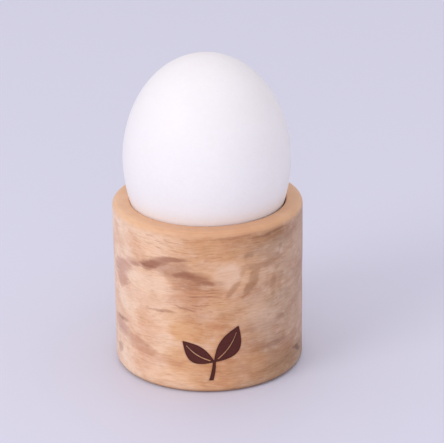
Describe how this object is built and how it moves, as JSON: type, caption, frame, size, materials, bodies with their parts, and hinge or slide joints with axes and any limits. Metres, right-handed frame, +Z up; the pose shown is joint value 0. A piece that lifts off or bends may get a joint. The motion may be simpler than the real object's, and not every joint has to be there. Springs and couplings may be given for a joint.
{
  "type": "egg cup with boiled egg",
  "caption": "Turned wooden egg cup, a plain upright cylinder with a round bowl, holding a whole white egg upright; the egg lifts out.",
  "frame": {"origin": "centre of the cup's foot, on the surface it stands on", "axes": "+Z up along the cup's and the egg's common axis; -Y is the side with the burned mark; +X is to the right when facing the mark"},
  "size_m": [0.05, 0.05, 0.0839],
  "materials": {
    "turned_wood": "sanded and thinly oiled, with dark figure and a burned mark",
    "eggshell": "matt white, finely pitted",
    "shell_membrane": "thin white fibrous film",
    "inner_membrane": "thin smooth film",
    "egg_white": "set, moist, slightly glossy",
    "chalaza": "moist twisted cord",
    "yolk": "set, matt and crumbly"
  },
  "bodies": {
    "cup": {"egg_cup": "turned_wood"},
    "egg": {"eggshell": "eggshell", "outer_shell_membrane": "shell_membrane", "inner_shell_membrane": "inner_membrane", "egg_white": "egg_white", "upper_chalaza": "chalaza", "lower_chalaza": "chalaza", "yolk": "yolk"}
  },
  "joints": [
    {"name": "egg_lift", "type": "slide", "parent": "cup", "child": "egg", "axis": [0, 0, 1], "range_m": [0, 0.04]}
  ]
}
